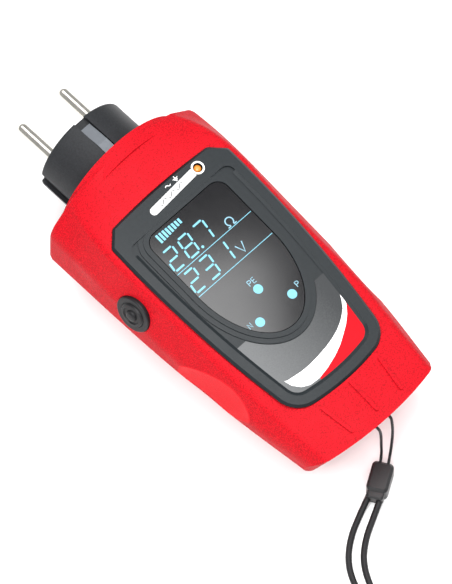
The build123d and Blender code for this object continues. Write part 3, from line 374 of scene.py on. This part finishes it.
def scoop_highlight_mask(tree, place, side):
    """The mask of one finger scoop's painted highlight: where a point lies as far from the scoop's axis as
    the scoop's radius.
    """
    centre = Vector((side * (SCOOP_FLOOR_X + SCOOP_RADIUS), *SCOOP_CENTRE)) * MM
    axis = Vector((side * SCOOP_AXIS.x, SCOOP_AXIS.y, SCOOP_AXIS.z))
    reach = vector_step(tree, "SUBTRACT", place, centre)["Vector"]
    swing = vector_step(tree, "CROSS_PRODUCT", reach, axis)["Vector"]
    distance = vector_step(tree, "LENGTH", swing)["Value"]
    low, high = [(SCOOP_RADIUS + depth) * MM for depth in SCOOP_HIGHLIGHT_FADE]
    return remap(tree, distance, low, high, SCOOP_HIGHLIGHT_COVER, 0)


def seam_shade_mask(tree, place):
    """Where a point lies on the fine line between the two shells, which is painted dark as the shade in the
    gap between them.
    """
    upright = tree.nodes.new("ShaderNodeSeparateXYZ")
    link(tree, place, upright.inputs["Vector"])
    seam = tree.nodes.new("ShaderNodeMath")
    seam.operation = "COMPARE"
    seam.inputs[1].default_value = PARTING_Z * MM
    seam.inputs[2].default_value = SEAM_WIDTH / 2 * MM
    link(tree, upright.outputs["Z"], seam.inputs[0])
    return seam.outputs["Value"]


# the finger scoops are smoother than the grained case; a painted highlight, a lighter red mixed into the case
# colour, stands in for the light they catch
case_red = plastic(
    "case_red", (0.4, 0.0025, 0.008), 0.6,
    grain=2.4, relief=0.1, contrast=0.34, specular=0.1, blend=0.12,
)
case_place = case_red.node_tree.nodes.new("ShaderNodeTexCoord").outputs["Object"]
for side in (-1, 1):
    # painted highlight: each finger scoop is mixed towards a lighter red
    mix_colour(case_red, scoop_highlight_mask(case_red.node_tree, case_place, side), (0.58, 0.01, 0.016))
# painted shade: a dark red line along the parting line between the two shells
mix_colour(case_red, seam_shade_mask(case_red.node_tree, case_place), (0.12, 0.002, 0.004))

plug_black = plastic(
    "plug_black", (0.013, 0.014, 0.016), 0.5, grain=1.6, relief=0.03, contrast=0.25, specular=0.25,
)
bezel_black = plastic("bezel_black", (0.01, 0.013, 0.015), 0.34, grain=1.0, relief=0.01, specular=0.17)
window_glass = plastic(
    "window_glass", (0.004, 0.004, 0.005), 0.13, grain=0.4, relief=0.001, specular=0.3,
)
label_grey = plastic(
    "label_grey", (0.07, 0.073, 0.077), 0.4, grain=2.2, relief=0.01, contrast=0.25, specular=0.3,
)
white_print = plastic(
    "white_print", (0.8, 0.8, 0.8), 0.5, grain=1.0, relief=0.004, contrast=0.03, specular=0.2,
)
red_print = plastic(
    "red_print", (0.42, 0.0025, 0.008), 0.5, grain=1.0, relief=0.004, contrast=0.08, specular=0.08,
)
grey_print = plastic(
    "grey_print", (0.18, 0.34, 0.42), 0.4, grain=1.0, relief=0.004, contrast=0.05, specular=0.2,
)
led_amber = plastic("led_amber", (0.6, 0.2, 0.025), 0.3, grain=1.0, relief=0.01)
white_plastic = plastic("white_plastic", (0.72, 0.72, 0.68), 0.5)
board_green = plastic("board_green", (0.02, 0.16, 0.06), 0.35)
part_black = plastic("part_black", (0.02, 0.02, 0.022), 0.5)
ceramic_white = plastic("ceramic_white", (0.75, 0.73, 0.66), 0.8, relief=0.06)
button_rubber = plastic("button_rubber", (0.006, 0.006, 0.007), 0.45, grain=1.4, relief=0.02, specular=0.25)
cord_black = plastic(
    "cord_black", (0.006, 0.006, 0.007), 0.55, grain=2.2, relief=0.12, contrast=0.4, specular=0.3,
)
block_black = plastic("block_black", (0.011, 0.011, 0.012), 0.4, grain=1.0, relief=0.01, specular=0.4)
lead_brown = plastic("lead_brown", (0.16, 0.06, 0.02), 0.4)
lead_blue = plastic("lead_blue", (0.02, 0.08, 0.4), 0.4)
lead_green = plastic("lead_green", (0.1, 0.4, 0.03), 0.4)
pin_nickel = metal("pin_nickel", (0.62, 0.6, 0.55), 0.16)
clip_steel = metal("clip_steel", (0.14, 0.15, 0.165), 0.45)
screw_steel = metal("screw_steel", (0.24, 0.24, 0.24), 0.4)
socket_brass = metal("socket_brass", (0.75, 0.6, 0.3), 0.25)
can_aluminium = metal("can_aluminium", (0.7, 0.7, 0.72), 0.35)

# the face label is coloured light grey on the left, darkening to the bezel's own black on the right
face_fade, tree, shader = new_material("face_fade")
place = tree.nodes.new("ShaderNodeTexCoord")
split = tree.nodes.new("ShaderNodeSeparateXYZ")
link(tree, place.outputs["Object"], split.inputs["Vector"])
across = remap(tree, split.outputs["X"], -0.018, 0.018, 0, 0.85)
speckle = remap(tree, noise(tree, 2.2), 0.3, 0.7, -0.08, 0.08)
total = tree.nodes.new("ShaderNodeMath")
link(tree, across, total.inputs[0])
link(tree, speckle, total.inputs[1])
fade_stops = [(0.0, (0.09, 0.093, 0.096)), (0.35, (0.055, 0.058, 0.06)), (0.8, (0.012, 0.014, 0.016))]
link(tree, ramp(tree, total.outputs["Value"], fade_stops), shader.inputs["Base Color"])
shader.inputs["Roughness"].default_value = 0.42
shader.inputs["Specular IOR Level"].default_value = 0.3

segment_glow, tree, shader = new_material("segment_glow")
glow_stops = [(0.3, (0.08, 0.3, 0.39)), (0.7, (0.11, 0.34, 0.43))]
link(tree, ramp(tree, noise(tree, 0.8), glow_stops), shader.inputs["Base Color"])
shader.inputs["Roughness"].default_value = 0.35
shader.inputs["Emission Color"].default_value = (0.18, 0.55, 0.72, 1)
shader.inputs["Emission Strength"].default_value = 0.14

by_slot = {
    "case_red": case_red, "plug_black": plug_black, "bezel_black": bezel_black, "window_glass": window_glass,
    "label_grey": label_grey, "lcd_glass": part_black, "white_plastic": white_plastic, "led_amber": led_amber,
    "board_green": board_green, "part_black": part_black, "ceramic_white": ceramic_white,
    "can_aluminium": can_aluminium, "fuse_glass": white_plastic, "lead_brown": lead_brown,
    "lead_blue": lead_blue, "lead_green": lead_green, "screw_steel": screw_steel, "pin_nickel": pin_nickel,
    "clip_steel": clip_steel, "socket_brass": socket_brass, "button_rubber": button_rubber,
    "cord_black": cord_black, "block_black": block_black,
}
for subpart in frame["record"]["subparts"]:
    data = nodes[subpart["node"]].data
    data.materials.clear()
    material = face_fade if subpart["node"] == "face_label" else by_slot[subpart["material_slot"]]
    data.materials.append(material)

# ---------------------------------------------------------------- strap
BLOCK_CENTRE = Vector((-7.06, -87.18))
BLOCK_HEADING = Vector((-0.857, -0.515))
STRAP_LIP_START = 5.2
STRAP_LIP_END = 7.9
STRAP_LIP_WIDTH = 5.8
STRAP_LIP_ROUNDING = 1.0
STRAP_LIP_BEVEL = 0.5
STRAP_LIP_SIDES = (0.7, 4.9)


def block_place(x, y, z):
    """A point of the strap block's own frame, x along the strap, in metres."""
    plan = BLOCK_CENTRE + BLOCK_HEADING * x + Vector((-BLOCK_HEADING.y, BLOCK_HEADING.x)) * y
    return Vector((plan.x, plan.y, z)) * MM


def strap_lip_outline(inset):
    """The strap lip seen from above: square at the block, rounded at its free end."""
    half = STRAP_LIP_WIDTH / 2 - inset
    bend = STRAP_LIP_ROUNDING
    return (
        [(STRAP_LIP_START, -half)] + arc((STRAP_LIP_END - inset - bend, -half + bend), bend, -90, 0, 6)
        + arc((STRAP_LIP_END - inset - bend, half - bend), bend, 0, 90, 6) + [(STRAP_LIP_START, half)]
    )


def strap_lip_mesh():
    """The strap block's narrower end: a bevelled plate as a stack of outlines."""
    low, high = STRAP_LIP_SIDES
    bevel = STRAP_LIP_BEVEL
    levels = [(bevel, low), (0.0, low + bevel), (0.0, high - bevel), (bevel, high)]
    rings = [[block_place(x, y, z) for x, y in strap_lip_outline(inset)] for inset, z in levels]
    count = len(rings[0])
    faces = [tuple(range(count))[::-1], tuple(range(3 * count, 4 * count))]
    for ring in range(3):
        for index in range(count):
            following = (index + 1) % count
            lower, upper = ring * count, (ring + 1) * count
            faces.append((lower + index, lower + following, upper + following, upper + index))
    mesh = bpy.data.meshes.new("strap_block_lip")
    mesh.from_pydata([point for ring in rings for point in ring], [], faces)
    return mesh


strap_lip = add_object("strap_block_lip", strap_lip_mesh(), block_black)
for cord, node in ((eyelet_cord, "eyelet_cord"), (wrist_cord, "wrist_cord")):
    cord.data.materials.append(cord_black)
    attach(cord, "case")
    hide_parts(node)
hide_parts("wrist_coil")

# ---------------------------------------------------------------- display
DIGIT_WIDTH = 4.4
DIGIT_HEIGHT = 7.5
DIGIT_SLANT = 1.15
DIGIT_PITCH = 6.9
DIGIT_RIGHT_X = -11.2
DIGIT_TOPS = (7.5, -2.5)
SEGMENT_WIDTH = 0.68
SEGMENT_GAP = 0.34
SEGMENT_ENDS = {
    "a": ((0, 1), (1, 1)), "b": ((1, 1), (1, 0.5)), "c": ((1, 0.5), (1, 0)), "d": ((0, 0), (1, 0)),
    "e": ((0, 0.5), (0, 0)), "f": ((0, 1), (0, 0.5)), "g": ((0, 0.5), (1, 0.5)),
}
SEGMENTS = {"1": "bc", "2": "abged", "3": "abgcd", "7": "abc", "8": "abcdefg"}


def segment(corner_x, top_y, ends):
    """One lit segment: a bar with pointed ends, in a leaning digit."""
    places = []
    for across, up in ends:
        x = corner_x - DIGIT_WIDTH * (1 - across) - DIGIT_SLANT * (1 - up)
        places.append(Vector((x, top_y - DIGIT_HEIGHT * (1 - up))))
    start, end = places
    run = (end - start).normalized()
    side = Vector((-run.y, run.x)) * SEGMENT_WIDTH / 2
    start += run * SEGMENT_GAP
    end -= run * SEGMENT_GAP
    tip = run * SEGMENT_WIDTH / 3
    corners = [start, start + side + tip, end + side - tip, end, end - side - tip, start - side + tip]
    return [tuple(corner) for corner in corners]


def window_print(name, outlines):
    """A flat print on the window."""
    return plate_mesh(name, outlines, WINDOW_TOP, WINDOW_TOP + PRINT)


def box_outline(low_x, high_x, low_y, high_y):
    """The corners of an upright rectangle."""
    return [(low_x, low_y), (high_x, low_y), (high_x, high_y), (low_x, high_y)]


POINT_PLACE = (-3.8, 0.35)
POINT_RADIUS = 0.5
BAR_COUNT = 8
BAR_START_X = -12.8
BAR_PITCH = 1.36
BAR_HALF_WIDTH = 0.43
BAR_FOOT_Y = 10.1
BAR_FOOT_RISE = 0.12
BAR_HEAD_Y = 13.4
BAR_HEAD_RISE = -0.07
RULE_ENDS = (-17.1, 16.9)
RULE_HALF_WIDTH = 0.11
RULE_YS = (-1.25, -11.4)
DOT_RADIUS = 1.65
DOT_PLACES = ((-0.3, -22.3), (7.0, -31.0), (-7.9, -31.0))

outlines = []
for text, top_y in zip(("287", "231"), DIGIT_TOPS):
    for place, character in enumerate(text):
        for bar in SEGMENTS[character]:
            outlines.append(segment(DIGIT_RIGHT_X + place * DIGIT_PITCH, top_y, SEGMENT_ENDS[bar]))
plates = [window_print("segments", outlines)]
plates.append(window_print("point", [arc(POINT_PLACE, POINT_RADIUS, 0, 345)]))
for bar in range(BAR_COUNT):
    x = BAR_START_X + bar * BAR_PITCH
    foot = BAR_FOOT_Y + bar * BAR_FOOT_RISE
    head = BAR_HEAD_Y + bar * BAR_HEAD_RISE
    plates.append(window_print("bar", [box_outline(x - BAR_HALF_WIDTH, x + BAR_HALF_WIDTH, foot, head)]))
for y in RULE_YS:
    plates.append(window_print("rule", [box_outline(*RULE_ENDS, y - RULE_HALF_WIDTH, y + RULE_HALF_WIDTH)]))
for dot_place in DOT_PLACES:
    plates.append(window_print("dot", [arc(dot_place, DOT_RADIUS, 0, 350, 35)]))
add_object("display_segments", join_meshes("display_segments", plates), segment_glow)


# ---------------------------------------------------------------- print on the window, bezel and label
def strokes(name, lines, width, low):
    """A plate mesh per stroke: each line is an open run of points in plan."""
    return [plate_mesh(name, [band(line, width)], low, low + PRINT) for line in lines]


LETTER_HEIGHT = 1.9
LETTER_STROKE = 0.28
LETTERS = {
    "P": [
        [(0, 0), (0, 1)],
        [(0, 1), (0.4, 1), (0.6, 0.9), (0.65, 0.74), (0.6, 0.58), (0.4, 0.48), (0, 0.48)],
    ],
    "E": [[(0.55, 0), (0, 0), (0, 1), (0.55, 1)], [(0, 0.52), (0.48, 0.52)]],
    "N": [[(0, 0), (0, 1), (0.65, 0), (0.65, 1)]],
    "V": [[(0, 1), (0.42, 0), (0.84, 1)]],
}


def letter(character, x, y, height):
    """The strokes of a letter whose lower left corner is at (x, y)."""
    return [[(x + u * height, y + v * height) for u, v in line] for line in LETTERS[character]]


TERMINAL_LETTERS = (("P", -1.6, -20.0), ("E", 0.2, -20.0), ("P", 10.2, -30.5), ("N", -12.0, -30.7))
terminals = []
for character, x, y in TERMINAL_LETTERS:
    terminals += letter(character, x, y, LETTER_HEIGHT)
marks = strokes("terminals", terminals, LETTER_STROKE, WINDOW_TOP)
UNIT_HEIGHT = 3.5
UNIT_STROKE = 0.42
OHM_CENTRE = (9.05, 0.9)
OHM_RADIUS = 1.45
OHM_FOOT_Y = -0.7
OHM_FEET = ((7.2, 8.3), (9.8, 10.9))
left_foot, right_foot = [[(x, OHM_FOOT_Y) for x in ends] for ends in OHM_FEET]
ohm = left_foot + arc(OHM_CENTRE, OHM_RADIUS, 240, -60, 24) + right_foot
marks += strokes("units", letter("V", 4.3, -10.1, UNIT_HEIGHT) + [ohm], UNIT_STROKE, WINDOW_TOP)
add_object("display_units", join_meshes("display_units", marks), grey_print)

PILL_START = Vector((-7.3, 19.8))
LED_PLACE = Vector((14.2, 21.2))
PILL_RADIUS = 1.4
PILL_MEETS_RING = 0.8
LED_RING = 2.3
LED_RING_HOLE = 1.72
LED_RIM_TOP = HEADER_TOP + 0.15
WAVE_MIDDLE = 8.5
WAVE_REACH = 6.0
WAVE_HEIGHT = 0.55
WAVE_LENGTH = 4
WAVE_STROKE = 0.32
WAVE_STEPS = 32
pill_run = (LED_PLACE - PILL_START).normalized()
pill_across = Vector((-pill_run.y, pill_run.x))


def pill_outline():
    """A bar with a round left end that runs into the ring round the lamp."""
    turn = 90 + 180 / pi * atan(pill_run.y / pill_run.x)
    end = LED_PLACE - pill_run * LED_RING * PILL_MEETS_RING
    corners = [tuple(end - pill_across * PILL_RADIUS), tuple(end + pill_across * PILL_RADIUS)]
    return arc(PILL_START, PILL_RADIUS, turn, turn + 180, 14) + corners


def wave_points():
    """A sine line along the middle of the pill."""
    middle = PILL_START + pill_run * WAVE_MIDDLE
    points = []
    for step in range(WAVE_STEPS + 1):
        reach = -WAVE_REACH + 2 * WAVE_REACH * step / WAVE_STEPS
        rise = WAVE_HEIGHT * sin(2 * pi * reach / WAVE_LENGTH)
        points.append(tuple(middle + pill_run * reach + pill_across * rise))
    return points


pill = [pill_outline(), band(wave_points(), WAVE_STROKE)]
white = [plate_mesh("pill", pill, HEADER_TOP, HEADER_TOP + PRINT)]
led_ring = [arc(LED_PLACE, LED_RING, 0, 354, 59), arc(LED_PLACE, LED_RING_HOLE, 0, 350, 35)]
white.append(plate_mesh("led_ring", led_ring, LED_RIM_TOP, LED_RIM_TOP + PRINT))
TILDE_START = (1.2, 23.2)
TILDE_PITCH = 0.22
TILDE_HEIGHT = 0.35
SUPPLY_STROKE = 0.24
tilde = []
for step in range(11):
    rise = TILDE_HEIGHT * sin(2 * pi * step / 10)
    tilde.append((TILDE_START[0] + TILDE_PITCH * step, TILDE_START[1] + rise))
earth_mark = [
    [(5.9, 24.4), (5.9, 23.5)], [(4.9, 23.5), (6.9, 23.5)],
    [(5.25, 23.05), (6.55, 23.05)], [(5.6, 22.6), (6.2, 22.6)],
]
white += strokes("supply", [tilde] + earth_mark, SUPPLY_STROKE, HEADER_TOP)

CRESCENT_OUTER = [
    (19.6, -40.0), (19.3, -42.0), (18.4, -45.0), (16.0, -47.9), (13.2, -50.2), (10.1, -52.1), (6.6, -54.1),
    (2.6, -55.7), (-2.0, -57.0), (-6.5, -57.8), (-10.5, -57.5), (-13.3, -56.1), (-15.4, -53.6),
    (-16.2, -50.9),
]
CRESCENT_INNER = [
    (-15.2, -51.4), (-13.0, -51.7), (-9.5, -52.2), (-5.7, -52.3), (-1.5, -52.0), (3.0, -51.4), (6.2, -50.7),
    (9.2, -49.8), (11.6, -48.7), (13.7, -47.5), (16.2, -45.6), (18.0, -43.2), (19.0, -41.4),
]
RED_EDGE = [
    (-6.5, -59.1), (0.0, -59.5), (7.0, -59.2), (11.5, -58.7), (14.4, -58.0), (16.4, -56.6), (17.6, -54.4),
    (18.3, -51.5), (18.9, -48.5), (19.5, -43.8), (19.8, -41.0),
]
white.append(plate_mesh("crescent", [CRESCENT_OUTER + CRESCENT_INNER], LABEL_TOP, LABEL_TOP + PRINT))
add_object("face_print_white", join_meshes("face_print_white", white), white_print)
# the red patch fills the corner between the crescent and the bezel
red_outline = CRESCENT_OUTER[:10] + RED_EDGE
red_patch = plate_mesh("red_patch", [red_outline], LABEL_TOP, LABEL_TOP + PRINT)
add_object("face_print_red", red_patch, red_print)

# ---------------------------------------------------------------- the bezel's sloping inner lip
BEZEL_LIP_TOP_Y = 12.6
BEZEL_LIP_OUTER = 3.9
BEZEL_LIP_INNER = 5.2
BEZEL_LIP_HIGH = 0.49
BEZEL_LIP_LOW = -0.16
FOOT_CENTRE = (12.52, -52.94)
FOOT_RADIUS = 10.0
FOOT_ANGLES = (-8.7, -80.3)
FLANK_END_Y = -54.45
BOTTOM_START_X = 14.2
BOTTOM_Y = -64.0
BOTTOM_BOW = 0.00595
FLANK_TOP = (27, 19.6)
FLANK_SLOPE = 0.0219
FLANK_BOW = 0.00122
FLANK_MIDDLE_Y = -21.5
FLANK_STEPS = 24
BOTTOM_STEPS = 8


def flank_x(y):
    """Half the bezel's width at y, on the gentle curve of its flank."""
    top_x, top_y = FLANK_TOP
    return top_x + FLANK_SLOPE * (y - top_y) - FLANK_BOW * (y - top_y) * (y - FLANK_MIDDLE_Y)


def bezel_lip_line(inset):
    """Points inside the bezel's outline by an even distance, down the right flank and round to the left."""
    points = []
    for step in range(FLANK_STEPS + 1):
        y = BEZEL_LIP_TOP_Y + (FLANK_END_Y - BEZEL_LIP_TOP_Y) * step / FLANK_STEPS
        slope = flank_x(y + 0.5) - flank_x(y - 0.5)
        outwards = Vector((1, -slope)).normalized()
        points.append((flank_x(y) - inset * outwards.x, y - inset * outwards.y))
    points += arc(FOOT_CENTRE, FOOT_RADIUS - inset, *FOOT_ANGLES, 10)[1:]
    for step in range(1, BOTTOM_STEPS + 1):
        x = BOTTOM_START_X * (1 - step / BOTTOM_STEPS)
        upwards = Vector((-2 * BOTTOM_BOW * x, 1)).normalized()
        points.append((x + inset * upwards.x, BOTTOM_Y + BOTTOM_BOW * x * x + inset * upwards.y))
    return points + [(-x, y) for x, y in points[-2::-1]]


def bezel_lip_mesh():
    """A three-sided strip along the lip's line."""
    edges = []
    section = (
        (BEZEL_LIP_OUTER, BEZEL_LIP_HIGH), (BEZEL_LIP_INNER, BEZEL_LIP_LOW),
        (BEZEL_LIP_OUTER, BEZEL_LIP_LOW),
    )
    for inset, height in section:
        edges.append([front(x, y, height) for x, y in bezel_lip_line(inset)])
    count = len(edges[0])
    faces = [(0, count, 2 * count), (count - 1, 3 * count - 1, 2 * count - 1)]
    for index in range(count - 1):
        for first, second in ((0, 1), (1, 2), (2, 0)):
            start, end = first * count + index, second * count + index
            faces.append((start, start + 1, end + 1, end))
    mesh = bpy.data.meshes.new("bezel_lip")
    mesh.from_pydata(edges[0] + edges[1] + edges[2], [], faces)
    return mesh


add_object("bezel_lip", bezel_lip_mesh(), bezel_black)

# ---------------------------------------------------------------- floor and lights
FLOOR_SIZE = 3.0
floor_mesh = bpy.data.meshes.new("floor")
half = FLOOR_SIZE / 2
floor_corners = [(-half, -half, 0), (half, -half, 0), (half, half, 0), (-half, half, 0)]
floor_mesh.from_pydata(floor_corners, [], [(0, 1, 2, 3)])
floor = bpy.data.objects.new("floor", floor_mesh)
bpy.context.scene.collection.objects.link(floor)
floor_white = plastic("floor_white", (0.86, 0.86, 0.86), 0.6, grain=0.02, relief=0.0, contrast=0.01)
floor_mesh.materials.append(floor_white)


def area_lamp(name, place, away, size, power):
    """A square area light at a place, facing back along the direction that leads away from its target."""
    data = bpy.data.lights.new(name, "AREA")
    data.size = size
    data.energy = power
    lamp = bpy.data.objects.new(name, data)
    bpy.context.scene.collection.objects.link(lamp)
    lamp.location = place
    lamp.rotation_mode = "QUATERNION"
    lamp.rotation_quaternion = (-away).to_track_quat("-Z", "Y")


def softbox(name, azimuth, elevation, distance, size, power):
    """A square area light that looks at the object."""
    away = direction(azimuth, elevation)
    area_lamp(name, away * distance, away, size, power)


softbox("key", -60, 55, 1.1, 0.7, 14)
softbox("fill", 60, 50, 1.3, 0.9, 7)
softbox("back", 170, 60, 1.3, 0.8, 6)

# a small panel whose soft edge is mirrored across the window
PANEL_AWAY = Vector((0.31, 0.01, 0.95)) * 0.35
PANEL_SHIFT = Vector((-0.085, -0.02, 0))
PANEL_AIM = (0, -12)
PANEL_SIZE = 0.14
PANEL_POWER = 0.75
panel_reach = PANEL_AWAY + PANEL_SHIFT
area_lamp("panel", front(*PANEL_AIM) + panel_reach, panel_reach, PANEL_SIZE, PANEL_POWER)

WORLD_STRENGTH = 0.55
world = bpy.data.worlds.new("studio")
bpy.context.scene.world = world
world.use_nodes = True
world.node_tree.nodes["Background"].inputs["Color"].default_value = (1, 1, 1, 1)
world.node_tree.nodes["Background"].inputs["Strength"].default_value = WORLD_STRENGTH
bpy.context.scene.view_settings.view_transform = "Standard"
